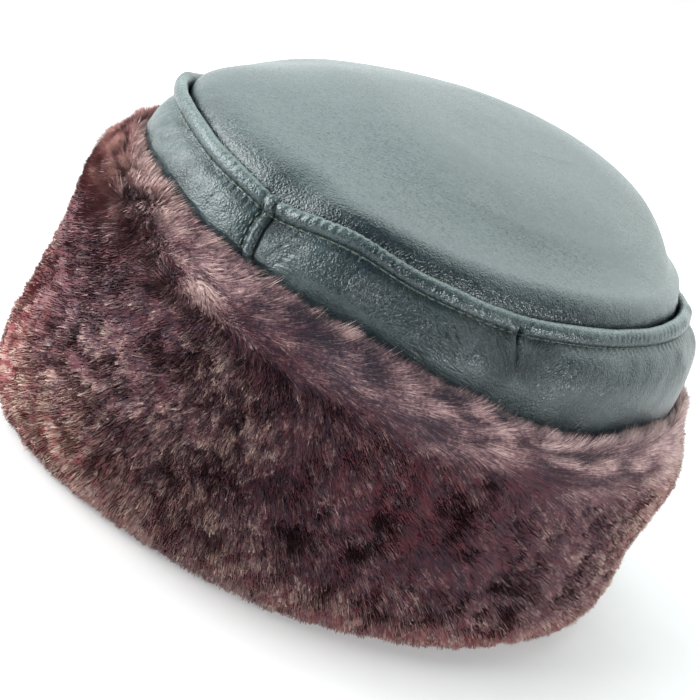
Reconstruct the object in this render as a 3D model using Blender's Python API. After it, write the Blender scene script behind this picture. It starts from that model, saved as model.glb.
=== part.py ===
"""A kubanka: an oval leather crown, puffed on top, inside a deep turned-up fur cuff.

Metres, +Z up. The hat stands on the flattened foot of its cuff, with the origin under its middle. The oval
is longest along Y, and +Y is the back, beside the one join of the crown band. Angles are in degrees, from +X
towards +Y. Every ring of the hat is the same oval, grown or shrunk by an offset and set at a height.
"""

import math
from collections import namedtuple

import bmesh
import bpy
from mathutils import Matrix, Vector

MM = 0.001

# Driving sizes
HALF_WIDTH = 104.2 * MM
HALF_LENGTH = 128.0 * MM
EDGE_HEIGHT = 111.2 * MM
CUFF_HEIGHT = 83.9 * MM
PUFF_HEIGHT = 20.2 * MM
LEATHER = 2.2 * MM
GAP = 0.4 * MM

# How the soft hat leans: the rise of the crown's edge, of the puff's middle and of the cuff towards +X and +Y,
# and the shift of the crown's edge and of the puff's highest place from the middle
EDGE_TILT = (5.2 * MM, -4.9 * MM)
PUFF_TILT = (11.5 * MM, -5.2 * MM)
CUFF_TILT = (7.0 * MM, 4.6 * MM)
CROWN_SHIFT = (2.7 * MM, 3.5 * MM)
PUFF_SHIFT = (-4.5 * MM, -15.5 * MM)

# Offsets from the oval
SEAM_OFFSET = -27.3 * MM
BAND_OFFSET = -15.8 * MM
HIDDEN_OFFSET = -18.4 * MM
CUFF_INNER = HIDDEN_OFFSET + GAP
HEM_INNER = HIDDEN_OFFSET - LEATHER - 0.2 * MM

# The welt along the crown's edge, and the ridge and groove of the band's one lapped join
JOIN_ANGLE = 110.0
RIDGE_HEIGHT = 1.0 * MM
GROOVE_DEPTH = 0.9 * MM
CREASE_ANGLE = 158.0
FLANGE_DEPTH = 8.5 * MM
HEM_HEIGHT = 6.2 * MM

# Mesh density
COLUMNS = 72
LOCK_ROWS = 11

# Fur locks: how far their tips stand out and lean along the nap, and how uneven they and their roots are
LOCK_RISE = 2.7 * MM
LOCK_LEAN = 3.05 * MM
LOCK_UNEVEN = 1.2 * MM
ROOT_UNEVEN = 1.5 * MM
FLOOR_CLEARANCE = 0.6 * MM
LIP_OFFSET = -13.8 * MM

# A soft swelling (or, if negative, a dent) of an edge or wall, centred on an angle and fading over a spread
Swell = namedtuple("Swell", "angle size spread")
EDGE_SWELLS = (
    Swell(80, 1.2 * MM, 14),
    Swell(JOIN_ANGLE, -1.7 * MM, 6),
    Swell(126, 2.0 * MM, 9),
    Swell(158, -1.5 * MM, 9),
    Swell(207, 1.0 * MM, 20),
    Swell(330, -1.2 * MM, 22),
    Swell(42, -1.2 * MM, 22),
)
EDGE_PULL = (
    Swell(228, -1.3 * MM, 26),
)
CUFF_SWELLS = (
    Swell(92, 0.9 * MM, 8),
    Swell(133, 1.4 * MM, 10),
    Swell(171, -2.6 * MM, 11),
    Swell(196, 1.6 * MM, 9),
    Swell(226, 2.6 * MM, 12),
    Swell(32, -2.4 * MM, 24),
    Swell(300, 1.5 * MM, 18),
)
BAND_SWELLS = (
    Swell(96, 0.7 * MM, 9),
    Swell(JOIN_ANGLE, -0.9 * MM, 5),
    Swell(126, -0.6 * MM, 9),
    Swell(146, 1.1 * MM, 9),
    Swell(CREASE_ANGLE, -0.7 * MM, 4),
    Swell(172, 0.9 * MM, 9),
    Swell(205, 1.0 * MM, 16),
    Swell(318, 0.8 * MM, 20),
)

# How much flatter than elsewhere the top panel's edge lies, as a share of its rise
PANEL_SLACK = (
    Swell(252, 0.62, 50),
    Swell(148, 0.22, 20),
)
SLACK_REACH = 34.0 * MM

# A soft mound or dent of the top panel, at a place in plan
PlanMound = namedtuple("PlanMound", "x y size reach")
PANEL_MOUNDS = (
    PlanMound(56.0 * MM, 6.0 * MM, -1.3 * MM, 26.0 * MM),
    PlanMound(22.0 * MM, -60.0 * MM, 1.7 * MM, 26.0 * MM),
    PlanMound(-34.0 * MM, 12.0 * MM, -0.9 * MM, 22.0 * MM),
    PlanMound(-8.0 * MM, 48.0 * MM, 0.8 * MM, 20.0 * MM),
)

# A soft mound or dent of the fur, centred on an angle and a share of the cuff's height
Mound = namedtuple("Mound", "angle share size wide tall")
FUR_MOUNDS = (
    Mound(100, 0.60, 1.2 * MM, 16, 0.30),
    Mound(128, 0.80, 0.9 * MM, 12, 0.20),
    Mound(146, 0.45, -1.3 * MM, 14, 0.40),
    Mound(172, 0.30, 1.0 * MM, 14, 0.30),
    Mound(114, 0.03, -3.2 * MM, 20, 0.10),
    Mound(214, 0.66, 3.0 * MM, 13, 0.16),
    Mound(220, 0.93, -2.2 * MM, 16, 0.12),
    Mound(220, 0.40, -1.9 * MM, 13, 0.20),
    Mound(198, 0.08, 2.4 * MM, 14, 0.14),
    Mound(262, 0.55, -1.4 * MM, 20, 0.35),
    Mound(292, 0.70, 1.2 * MM, 18, 0.30),
    Mound(330, 0.40, -1.2 * MM, 18, 0.30),
    Mound(5, 0.55, 1.3 * MM, 18, 0.30),
    Mound(36, 0.52, -1.6 * MM, 18, 0.20),
    Mound(36, 0.86, 1.4 * MM, 16, 0.10),
    Mound(52, 0.16, 1.4 * MM, 20, 0.12),
    Mound(74, 0.05, 3.6 * MM, 18, 0.12),
)

# A ring of a section. Its height is a rise above the crown's edge, or a share of the cuff's height.
EdgeRing = namedtuple("EdgeRing", "rise offset")
ShareRing = namedtuple("ShareRing", "share offset")

# The crown band's section, from the groove beside the top panel, over the welt and down the outside, then up
# the inside
BAND_OUTSIDE_EDGE = (
    EdgeRing(-2.4 * MM, SEAM_OFFSET),
    EdgeRing(0.2 * MM, SEAM_OFFSET + 0.4 * MM),
    EdgeRing(1.1 * MM, SEAM_OFFSET + 1.8 * MM),
    EdgeRing(0.6 * MM, SEAM_OFFSET + 3.5 * MM),
    EdgeRing(-1.4 * MM, SEAM_OFFSET + 4.8 * MM),
    EdgeRing(-3.4 * MM, SEAM_OFFSET + 4.5 * MM),
    EdgeRing(-4.8 * MM, SEAM_OFFSET + 6.5 * MM),
    EdgeRing(-8.6 * MM, SEAM_OFFSET + 9.9 * MM),
    EdgeRing(-14.5 * MM, BAND_OFFSET),
)
BAND_OUTSIDE_CUFF = (
    ShareRing(1.05, BAND_OFFSET),
    ShareRing(0.985, BAND_OFFSET - 0.9 * MM),
    ShareRing(0.91, HIDDEN_OFFSET),
    ShareRing(0.45, HIDDEN_OFFSET),
)
BAND_INSIDE_CUFF = (
    ShareRing(0.45, HIDDEN_OFFSET - LEATHER),
    ShareRing(0.97, HIDDEN_OFFSET - LEATHER),
)
BAND_INSIDE_EDGE = (
    EdgeRing(-15.5 * MM, BAND_OFFSET - LEATHER),
    EdgeRing(-11.0 * MM, SEAM_OFFSET + 5.6 * MM),
    EdgeRing(-9.4 * MM, SEAM_OFFSET),
)

# The top panel: how far each ring lies inside the seam, and its rise above the crown's edge
PanelRing = namedtuple("PanelRing", "inset rise")
PANEL_OUTSIDE = (
    PanelRing(GAP, -FLANGE_DEPTH),
    PanelRing(GAP, -2.3 * MM),
    PanelRing(1.3 * MM, 0.9 * MM),
    PanelRing(3.8 * MM, 4.3 * MM),
    PanelRing(8.0 * MM, 7.7 * MM),
    PanelRing(14.0 * MM, 10.6 * MM),
    PanelRing(23.0 * MM, 14.0 * MM),
    PanelRing(38.0 * MM, 18.0 * MM),
    PanelRing(56.0 * MM, PUFF_HEIGHT),
)
PANEL_INSIDE = (
    PanelRing(56.0 * MM, PUFF_HEIGHT - LEATHER - 0.1 * MM),
    PanelRing(38.0 * MM, 18.0 * MM - LEATHER - 0.2 * MM),
    PanelRing(24.0 * MM, 11.7 * MM),
    PanelRing(11.0 * MM, 6.4 * MM),
    PanelRing(5.5 * MM, 2.6 * MM),
    PanelRing(GAP + LEATHER, -2.6 * MM),
    PanelRing(GAP + LEATHER, -FLANGE_DEPTH),
)
PANEL_TILT_FADE = 30.0 * MM

# The fur's outer face under its locks, from the lip beside the crown down to the foot
FUR_OUTSIDE = (
    ShareRing(0.980, -15.2 * MM),
    ShareRing(0.990, -12.4 * MM),
    ShareRing(0.945, -8.8 * MM),
    ShareRing(0.865, -6.6 * MM),
    ShareRing(0.765, -6.5 * MM),
    ShareRing(0.650, -6.9 * MM),
    ShareRing(0.530, -6.4 * MM),
    ShareRing(0.405, -5.6 * MM),
    ShareRing(0.285, -5.0 * MM),
    ShareRing(0.175, -5.6 * MM),
    ShareRing(0.085, -8.4 * MM),
    ShareRing(0.024, -12.6 * MM),
)
FOOT_OUTER = -15.0 * MM
FOOT_INNER = HEM_INNER + 1.4 * MM


def swelling(rows, angle):
    """The sum of the swellings in rows at an angle."""
    total = 0.0
    for row in rows:
        away = (angle - row.angle + 180.0) % 360.0 - 180.0
        total += row.size * math.exp(-((away / row.spread) ** 2))
    return total


def mound_relief(angle, share):
    """How far the fur stands out or lies in at a place on its face."""
    total = 0.0
    for row in FUR_MOUNDS:
        away = (angle - row.angle + 180.0) % 360.0 - 180.0
        fade = (away / row.wide) ** 2 + ((share - row.share) / row.tall) ** 2
        total += row.size * math.exp(-fade)
    return total


def plan_relief(point):
    """How far the top panel's mounds and dents lift it at a place."""
    total = 0.0
    for row in PANEL_MOUNDS:
        away = math.hypot(point.x - row.x, point.y - row.y) / row.reach
        total += row.size * math.exp(-(away ** 2))
    return total


def edge_height(angle):
    """Height of the crown's edge, where the top panel meets the band."""
    turn = math.radians(angle)
    tilt = EDGE_TILT[0] * math.cos(turn) + EDGE_TILT[1] * math.sin(turn)
    return EDGE_HEIGHT + tilt + swelling(EDGE_SWELLS, angle)


def cuff_height(angle):
    """Height of the fur's lip beside the crown."""
    turn = math.radians(angle)
    tilt = CUFF_TILT[0] * math.cos(turn) + CUFF_TILT[1] * math.sin(turn)
    return CUFF_HEIGHT + tilt + swelling(CUFF_SWELLS, angle)


def oval_point(angle, offset, height, shift=(0.0, 0.0)):
    turn = math.radians(angle)
    return Vector((
        (HALF_WIDTH + offset) * math.cos(turn) + shift[0],
        (HALF_LENGTH + offset) * math.sin(turn) + shift[1],
        height,
    ))


def crown_shift(height, angle):
    """How far the crown has leant sideways at a height: nothing at the cuff, all of it at the crown's edge."""
    low, high = cuff_height(angle), edge_height(angle)
    share = min(max((height - low) / (high - low), 0.0), 1.0)
    return (share * CROWN_SHIFT[0], share * CROWN_SHIFT[1])


def even_angles():
    return [360.0 * column / COLUMNS for column in range(COLUMNS)]


def band_angles():
    """Even columns, with finer ones across the lapped join and the crease."""
    join = [JOIN_ANGLE + step for step in (-3.4, -2.8, -1.9, -0.8, -0.1, 0.25, 0.9)]
    crease = [CREASE_ANGLE + step for step in (-1.6, 0.0, 1.6)]
    fine = join + crease
    near = 1.2
    even = [a for a in even_angles() if all(abs(a - f) > near for f in fine)]
    return sorted(even + fine)


def join_relief(angle):
    """Outward relief of the lapped join: a rounded ridge with a sunken stitch line before it and a groove after."""
    away = angle - JOIN_ANGLE
    ridge = RIDGE_HEIGHT * math.exp(-(((away + 1.3) / 1.1) ** 2))
    groove = GROOVE_DEPTH * math.exp(-(((away - 0.25) / 0.3) ** 2))
    return ridge - groove


def loft(bm, loops, close_section):
    """Quads between neighbouring loops of points, and between the last and the first if close_section is set."""
    rings = [[bm.verts.new(point) for point in loop] for loop in loops]
    pairs = list(zip(rings[:-1], rings[1:]))
    if close_section:
        pairs.append((rings[-1], rings[0]))
    for upper, lower in pairs:
        count = len(upper)
        for i in range(count):
            j = (i + 1) % count
            bm.faces.new((upper[i], lower[i], lower[j], upper[j]))
    return rings


def cap(bm, ring, centre, facing_up):
    """A fan of triangles from a ring to its centre point."""
    middle = bm.verts.new(centre)
    for i, vert in enumerate(ring):
        following = ring[(i + 1) % len(ring)]
        corners = (vert, following, middle) if facing_up else (following, vert, middle)
        bm.faces.new(corners)


def finish(bm, name, material, smooth=True):
    """Turns a bmesh into a named object with its material."""
    bmesh.ops.recalc_face_normals(bm, faces=bm.faces)
    mesh = bpy.data.meshes.new(name)
    bm.to_mesh(mesh)
    bm.free()
    mesh.materials.append(material)
    if smooth:
        mesh.shade_smooth()
        mesh.set_sharp_from_angle(angle=math.radians(60))
    obj = bpy.data.objects.new(name, mesh)
    bpy.context.scene.collection.objects.link(obj)
    return obj


def make_material(name, colour, roughness):
    material = bpy.data.materials.new(name)
    material.use_nodes = True
    shader = material.node_tree.nodes["Principled BSDF"]
    shader.inputs["Base Color"].default_value = (*colour, 1.0)
    shader.inputs["Roughness"].default_value = roughness
    shader.inputs["Metallic"].default_value = 0.0
    return material


def band_ring(ring, angles, relief=0.0):
    """One loop of the crown band. relief is how much of the join's ridge and of the wall's swellings it takes."""
    points = []
    for angle in angles:
        offset = ring.offset + relief * (join_relief(angle) + swelling(BAND_SWELLS, angle))
        if isinstance(ring, EdgeRing):
            height = edge_height(angle) + ring.rise
            offset += swelling(EDGE_PULL, angle)
        else:
            height = cuff_height(angle) * ring.share
        points.append(oval_point(angle, offset, height, crown_shift(height, angle)))
    return points


def make_crown_band(material):
    """The leather wall of the crown: a welt along its edge, a full side, and a plain stretch behind the cuff."""
    angles = band_angles()
    hem = (HIDDEN_OFFSET, HIDDEN_OFFSET - LEATHER)
    loops = [band_ring(ring, angles, relief) for ring, relief in zip(
        BAND_OUTSIDE_EDGE, (0.0, 0.0, 0.3, 0.6, 0.8, 0.8, 1.0, 1.0, 1.0))]
    loops += [band_ring(ring, angles, relief) for ring, relief in zip(
        BAND_OUTSIDE_CUFF, (1.0, 0.4, 0.0, 0.0))]
    loops += [[oval_point(angle, offset, HEM_HEIGHT) for angle in angles] for offset in hem]
    loops += [band_ring(ring, angles) for ring in BAND_INSIDE_CUFF]
    loops += [band_ring(ring, angles) for ring in BAND_INSIDE_EDGE]
    bm = bmesh.new()
    loft(bm, loops, close_section=True)
    return finish(bm, "crown_band", material)


def panel_ring(ring, angles):
    """One loop of the top panel. Its edge follows the crown's edge, and further in it settles to the tilted puff."""
    share = min(max(ring.inset / PANEL_TILT_FADE, 0.0), 1.0)
    inward = share * share * (3.0 - 2.0 * share)
    points = []
    for angle in angles:
        turn = math.radians(angle)
        size = 1.0 - ring.inset / HALF_WIDTH
        settled = EDGE_HEIGHT + size * (PUFF_TILT[0] * math.cos(turn) + PUFF_TILT[1] * math.sin(turn))
        slack = swelling(PANEL_SLACK, angle) * max(1.0 - ring.inset / SLACK_REACH, 0.0)
        rise = ring.rise * (1.0 - slack) if ring.rise > 0.0 else ring.rise
        height = (1.0 - inward) * edge_height(angle) + inward * settled + rise
        shift = [lean + inward * puff for lean, puff in zip(crown_shift(height, angle), PUFF_SHIFT)]
        offset = SEAM_OFFSET - ring.inset + swelling(EDGE_PULL, angle)
        point = oval_point(angle, offset, height, shift)
        point.z += inward * plan_relief(point)
        points.append(point)
    return points


def make_crown_top(material):
    """The puffed oval top panel, a shell whose edge turns down inside the band as its seam allowance."""
    angles = even_angles()
    bm = bmesh.new()
    rings = loft(bm, [panel_ring(ring, angles) for ring in PANEL_INSIDE + PANEL_OUTSIDE], close_section=False)
    peak = [edge + puff for edge, puff in zip(CROWN_SHIFT, PUFF_SHIFT)]
    faces_between = [face for face in bm.faces
                     if all(vert in rings[0] or vert in rings[-1] for vert in face.verts)]
    bmesh.ops.delete(bm, geom=faces_between, context="FACES_ONLY")
    cap(bm, rings[-1], Vector((*peak, EDGE_HEIGHT + PUFF_HEIGHT + 0.2 * MM)), facing_up=True)
    cap(bm, rings[0], Vector((*peak, EDGE_HEIGHT + PUFF_HEIGHT - LEATHER)), facing_up=False)
    return finish(bm, "crown_top", material)


def fur_face_point(ring, row, angle):
    """A corner of the fur's outer face. It is scattered a little, except beside the crown and at the foot."""
    share = ring.share
    relief = mound_relief(angle, share) if row > 1 else 0.0
    point = oval_point(angle, ring.offset + relief, cuff_height(angle) * share)
    loose = min(max((0.95 - share) / 0.15, 0.0), 1.0) if row < LOCK_ROWS - 1 else 0.0
    drift = Vector((wander(point, 1.0), wander(point, 2.0), 1.4 * wander(point, 3.0)))
    return point + drift * 0.7 * ROOT_UNEVEN * loose


def wander(point, phase):
    """A value between -1 and 1 that differs from lock to lock, from waves that cross at odd lengths."""
    x, y, z = (value / MM for value in point)
    bend = 2.3 * math.sin(0.29 * z + 0.17 * x + phase)
    first = math.sin(0.83 * x + 0.47 * z + 1.9 * phase + bend)
    second = math.sin(0.71 * y - 0.57 * z + 3.1 * phase - bend)
    third = math.sin(0.55 * x - 0.62 * y + 0.91 * z + 5.3 * phase)
    return (first + second + third) / 2.4


def keep_outside(point, offset):
    """Moves a point that lies inside an oval, in plan, out to that oval."""
    share = math.hypot(point.x / (HALF_WIDTH + offset), point.y / (HALF_LENGTH + offset))
    if share < 1.0:
        point.x /= share
        point.y /= share


def draw_out_locks(bm, cells):
    """Draws the middle of each cell out into a lock, which leans up near the lip and down further below."""
    drawn = bmesh.ops.poke(bm, faces=cells)
    bm.normal_update()
    upright = Vector((0.0, 0.0, 1.0))
    for tip in drawn["verts"]:
        outward = tip.normal.copy()
        level = tip.co.z / CUFF_HEIGHT
        nap = upright - outward * outward.z
        sideways = upright.cross(outward)
        drift = Vector((wander(tip.co, 4.0), wander(tip.co, 5.0), wander(tip.co, 6.0)))
        comb = min(max((level - 0.74) / 0.16, -1.2), 0.8)
        tip.co += outward * (LOCK_RISE + LOCK_UNEVEN * drift.z)
        tip.co += (nap * (comb + 0.25 * drift.y) + sideways * (0.35 + 0.6 * drift.x)) * LOCK_LEAN
        tip.co.z = max(tip.co.z, FLOOR_CLEARANCE)
        keep_outside(tip.co, LIP_OFFSET)


def make_fur_cuff(material):
    """The turned-up cuff: a thick ring of pile on its skin, its outer face drawn out into staggered locks.

    Rows of six-cornered cells, each row half a cell along from the next, cover the outer face. The skin
    behind needs half as many columns, and it steps in under the band's hem."""
    half_steps = [180.0 * step / COLUMNS for step in range(2 * COLUMNS)]
    angles = even_angles()
    bm = bmesh.new()
    outer = [
        [bm.verts.new(fur_face_point(ring, row, angle)) for angle in half_steps]
        for row, ring in enumerate(FUR_OUTSIDE)
    ]
    count = 2 * COLUMNS
    cells = []
    for row in range(LOCK_ROWS):
        upper, lower = outer[row], outer[row + 1]
        for start in range(row % 2, count, 2):
            steps = [(start + step) % count for step in range(3)]
            corners = [upper[i] for i in steps] + [lower[i] for i in reversed(steps)]
            cells.append(bm.faces.new(corners))

    def plain_loop(offset, height):
        return [oval_point(angle, offset, height(angle)) for angle in angles]

    skin = [
        plain_loop(FOOT_OUTER, lambda angle: 0.0),
        plain_loop(FOOT_INNER, lambda angle: 0.0),
        plain_loop(HEM_INNER, lambda angle: 1.6 * MM),
        plain_loop(HEM_INNER, lambda angle: HEM_HEIGHT - GAP),
        plain_loop(CUFF_INNER, lambda angle: HEM_HEIGHT - GAP),
        plain_loop(CUFF_INNER, lambda angle: 0.90 * cuff_height(angle)),
        plain_loop(CUFF_INNER + 1.6 * MM, lambda angle: 0.955 * cuff_height(angle)),
    ]
    rings = loft(bm, skin, close_section=False)
    for fine, coarse in ((outer[-1], rings[0]), (outer[0], rings[-1])):
        for column in range(COLUMNS):
            following = (column + 1) % COLUMNS
            bm.faces.new((
                fine[2 * column], fine[2 * column + 1], fine[2 * following], coarse[following], coarse[column],
            ))
    bmesh.ops.recalc_face_normals(bm, faces=bm.faces)
    draw_out_locks(bm, cells)
    return finish(bm, "fur_cuff", material, smooth=False)


def centre_in_plan(objects):
    """Moves the whole hat sideways so that the middle of its bounding box is over the origin."""
    points = [vert.co for obj in objects for vert in obj.data.vertices]
    middle = Vector((0.0, 0.0, 0.0))
    for axis in (0, 1):
        places = [point[axis] for point in points]
        middle[axis] = (min(places) + max(places)) / 2.0
    for obj in objects:
        obj.data.transform(Matrix.Translation(-middle))


def main():
    for obj in list(bpy.data.objects):
        bpy.data.objects.remove(obj)
    leather = make_material("leather", (0.155, 0.225, 0.225), 0.45)
    fur = make_material("fur", (0.150, 0.070, 0.080), 0.85)
    centre_in_plan([make_crown_top(leather), make_crown_band(leather), make_fur_cuff(fur)])


main()
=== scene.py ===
"""The look of the kubanka: fine leather and stitching over the crown, and the cuff's pile blade by blade.

Lengths are in millimetres until a mesh is made, and angles are in degrees from +X towards +Y. The ovals,
heights and tables repeat the part's own source, so every piece lies where its solid does.
"""

import math
from collections import namedtuple

import bpy
import numpy as np
from mathutils import Matrix, Vector


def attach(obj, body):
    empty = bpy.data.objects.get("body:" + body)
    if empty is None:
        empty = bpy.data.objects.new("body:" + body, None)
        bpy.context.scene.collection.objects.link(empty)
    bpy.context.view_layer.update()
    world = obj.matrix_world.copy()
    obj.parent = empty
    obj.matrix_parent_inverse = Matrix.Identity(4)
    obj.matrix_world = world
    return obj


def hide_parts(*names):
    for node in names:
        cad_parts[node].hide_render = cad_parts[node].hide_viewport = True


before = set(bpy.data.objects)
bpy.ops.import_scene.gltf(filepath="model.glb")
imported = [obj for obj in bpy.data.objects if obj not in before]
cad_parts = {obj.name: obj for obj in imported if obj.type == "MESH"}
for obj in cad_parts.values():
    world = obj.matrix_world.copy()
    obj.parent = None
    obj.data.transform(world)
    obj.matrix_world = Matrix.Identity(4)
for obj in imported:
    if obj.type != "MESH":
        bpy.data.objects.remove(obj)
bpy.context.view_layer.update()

MM = 0.001


def rows_of(kind, rows):
    """The rows of a table, each with its values by name."""
    return tuple(kind(*row) for row in rows)


# The hat's sizes, as in the part's source
HALF_WIDTH = 104.2
HALF_LENGTH = 128.0
EDGE_HEIGHT = 111.2
CUFF_HEIGHT = 83.9
PUFF_HEIGHT = 20.2
LEATHER = 2.2
GAP = 0.4
EDGE_TILT = (5.2, -4.9)
PUFF_TILT = (11.5, -5.2)
CUFF_TILT = (7.0, 4.6)
CROWN_SHIFT = (2.7, 3.5)
PUFF_SHIFT = (-4.5, -15.5)
SEAM_OFFSET = -27.3
BAND_OFFSET = -15.8
HIDDEN_OFFSET = -18.4
CUFF_INNER = HIDDEN_OFFSET + GAP
HEM_INNER = HIDDEN_OFFSET - LEATHER - 0.2
HEM_HEIGHT = 6.2
FOOT_OUTER = -15.0
FOOT_INNER = HEM_INNER + 1.4
FLANGE_DEPTH = 8.5
JOIN_ANGLE = 110.0
CREASE_ANGLE = 158.0
PANEL_TILT_FADE = 30.0
SLACK_REACH = 34.0
EVEN_INSET = 38.0
PLAN_SHIFT = (-0.005, 0.017)

# Sizes of what is added here: the radius that noise round the hat is measured on, and the stitches
RING_RADIUS = 112.0
STITCH_PITCH = 3.05
STITCH_LENGTH = 2.2
STITCH_LIFT = 0.10
THREAD = 0.5

Swell = namedtuple("Swell", "angle size spread")
EDGE_SWELLS = rows_of(Swell, (
    (80, 1.2, 14), (110, -1.7, 6), (126, 2.0, 9), (158, -1.5, 9),
    (207, 1.0, 20), (330, -1.2, 22), (42, -1.2, 22),
))
EDGE_PULL = (Swell(228, -1.3, 26), Swell(46, 1.6, 17))
EDGE_RISE = Swell(36, -4.2, 17)
LEFT_TUCK = Swell(46, -3.8, 17)
CUFF_SWELLS = rows_of(Swell, (
    (92, 0.9, 8), (133, 1.4, 10), (171, -2.6, 11), (196, 1.6, 9),
    (226, 2.6, 12), (32, -2.4, 24), (300, 1.5, 18),
))
BAND_SWELLS = rows_of(Swell, (
    (96, 0.7, 9), (110, -0.9, 5), (126, -0.6, 9), (146, 1.1, 9),
    (158, -0.7, 4), (172, 0.9, 9), (205, 1.0, 16), (318, 0.8, 20),
))
PANEL_SLACK = (Swell(252, 0.62, 50), Swell(148, 0.22, 20))
SEAM_SAG = Swell(310, -5.4, 84)
OVERHANG = (Swell(42, 1.2, 15), Swell(244, 1.5, 14))
MARGIN_PUFF = (Swell(150, 1.6, 40),)

PlanMound = namedtuple("PlanMound", "x y size reach")
PANEL_MOUNDS = rows_of(PlanMound, (
    (56.0, 6.0, -1.0, 30.0), (22.0, -60.0, 0.8, 34.0),
    (-34.0, 12.0, -0.4, 26.0), (-8.0, 48.0, 0.4, 26.0),
))

Mound = namedtuple("Mound", "angle share size wide tall")
FUR_MOUNDS = rows_of(Mound, (
    (100, 0.60, 1.2, 16, 0.30), (128, 0.80, 0.9, 12, 0.20), (146, 0.45, -1.3, 14, 0.40),
    (172, 0.30, 1.0, 14, 0.30), (114, 0.03, -3.2, 20, 0.10), (214, 0.66, 3.0, 13, 0.16),
    (220, 0.93, -2.2, 16, 0.12), (220, 0.40, -1.9, 13, 0.20), (198, 0.08, 2.4, 14, 0.14),
    (262, 0.55, -1.4, 20, 0.35), (292, 0.70, 1.2, 18, 0.30), (330, 0.40, -1.2, 18, 0.30),
    (5, 0.55, 1.3, 18, 0.30), (36, 0.52, -1.6, 18, 0.20), (36, 0.86, 1.4, 16, 0.10),
    (52, 0.16, 1.4, 20, 0.12), (74, 0.05, 3.6, 18, 0.12),
))

# Camera, fitted to the photograph, in metres, degrees and millimetres of lens
CAMERA_PLACE = (-0.2607, 0.3250, 0.1970)
CAMERA_AIM = (0.0, 0.0, 0.060)
CAMERA_ROLL = 28.78
CAMERA_LENS = 65.18
CAMERA_SHIFT = (-0.0716, -0.0381)

# Studio, in metres and watts: the ways to the picture's back and right, the lights, the pale wall, the floor
FAR = Vector((0.625, -0.780, 0.0))
RIGHT = Vector((-0.780, -0.625, 0.0))
UP = Vector((0.0, 0.0, 1.0))
LIGHT_AIM = Vector((0.0, 0.0, 0.08))
StudioLight = namedtuple("StudioLight", "name place size power")
LIGHTS = (
    StudioLight("right_soft", FAR * -0.60 + RIGHT * 0.90 + UP * 0.34, 0.40, 7.0),
    StudioLight("left_soft", -RIGHT * 0.86 - FAR * 0.38 + UP * 0.50, 0.90, 22.0),
)
WALL_WAY = (0.760, -0.650, 0.0)
WALL_TINT = (0.915, 1.0, 0.988, 1.0)
WALL_EDGE = (-0.10, 0.55)
WALL_GLOW = (0.04, 2.25)
WALL_HEIGHTS = (0.35, 0.85)
WALL_RISE = (0.78, 1.45)
WHITE = (1.0, 1.0, 1.0, 1.0)
FLOOR_REACH = 30.0
FLOOR_DROP = 0.0002
FLOOR_STRETCH = (-0.30, 0.9)
FLOOR_GLOW = (0.20, 0.80)


def turned(away):
    """An angle brought between -180 and 180."""
    return (away + 180.0) % 360.0 - 180.0


def smooth(value):
    """An even ease from 0 to 1, and flat outside."""
    share = np.clip(value, 0.0, 1.0)
    return share * share * (3.0 - 2.0 * share)


def rising(away, reach):
    """0 up to the start, and 1 from the reach on."""
    return np.clip(away / reach, 0.0, 1.0)


def bell(away, spread, power=2):
    """1 in the middle, falling softly to 0 on both sides."""
    return np.exp(-((away / spread) ** power))


def spot_fade(angle, level, spot, middle):
    """1 in the middle of a spot on the hat's side, falling softly to 0 round it."""
    return np.exp(-(turned(angle - spot.angle) / spot.wide) ** 2 - ((level - middle) / spot.tall) ** 2)


def unit(vectors):
    """Vectors brought to a length of 1."""
    return vectors / np.maximum(np.linalg.norm(vectors, axis=-1, keepdims=True), 1e-9)


def swelling(rows, angle):
    """The sum of soft swells round the hat."""
    return sum(row.size * bell(turned(angle - row.angle), row.spread) for row in rows)


def tilt_of(tilt, angle):
    """The rise at an angle of an oval that is tilted towards +X and +Y."""
    turn = np.radians(angle)
    return tilt[0] * np.cos(turn) + tilt[1] * np.sin(turn)


def edge_height(angle):
    """How high the crown's edge is."""
    return EDGE_HEIGHT + tilt_of(EDGE_TILT, angle) + swelling(EDGE_SWELLS, angle)


def seam_sag(angle):
    """How much lower the crown's edge is sewn behind, where the panel puffs out over it."""
    return SEAM_SAG.size * bell(turned(angle - SEAM_SAG.angle), SEAM_SAG.spread, 10)


def seam_height(angle):
    """How high the crown's seam is as it is shown."""
    return edge_height(angle) + seam_sag(angle) + swelling([EDGE_RISE], angle)


def cuff_height(angle):
    """How high the cuff's lip is."""
    return CUFF_HEIGHT + tilt_of(CUFF_TILT, angle) + swelling(CUFF_SWELLS, angle)


def oval(angle, offset, height, shift=(0.0, 0.0)):
    """Places on the hat's oval, an offset out from it."""
    turn = np.radians(angle)
    x = (HALF_WIDTH + offset) * np.cos(turn) + shift[0]
    y = (HALF_LENGTH + offset) * np.sin(turn) + shift[1]
    return np.stack(np.broadcast_arrays(x, y, height), axis=-1)


def crown_shift(height, angle):
    """How far the crown leans sideways at a height: nothing at the cuff, and all of it at the seam."""
    low, high = cuff_height(angle), edge_height(angle)
    share = rising(height - low, high - low)
    return share * CROWN_SHIFT[0], share * CROWN_SHIFT[1]


def on_crown(angle, offset, height):
    """Places on the crown's side, which leans with its height."""
    return oval(angle, offset, height, crown_shift(height, angle))


def scrambled(seed, *parts):
    """Whole numbers in, values from 0 to 1 out, the same on every run."""
    total = np.uint64(seed * 2654435761 % 4294967296)
    mask = np.uint64(4294967295)
    for part, factor in zip(parts, (73856093, 19349663, 83492791)):
        whole = (part.astype(np.int64) & 4294967295).astype(np.uint64)
        total = (total ^ (whole * np.uint64(factor) & mask)) & mask
        total = (total * np.uint64(2246822519) + np.uint64(374761393)) & mask
        total = total ^ (total >> np.uint64(15))
    total = (total * np.uint64(3266489917)) & mask
    total = total ^ (total >> np.uint64(13))
    return total.astype(np.float64) / 4294967295.0


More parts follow.
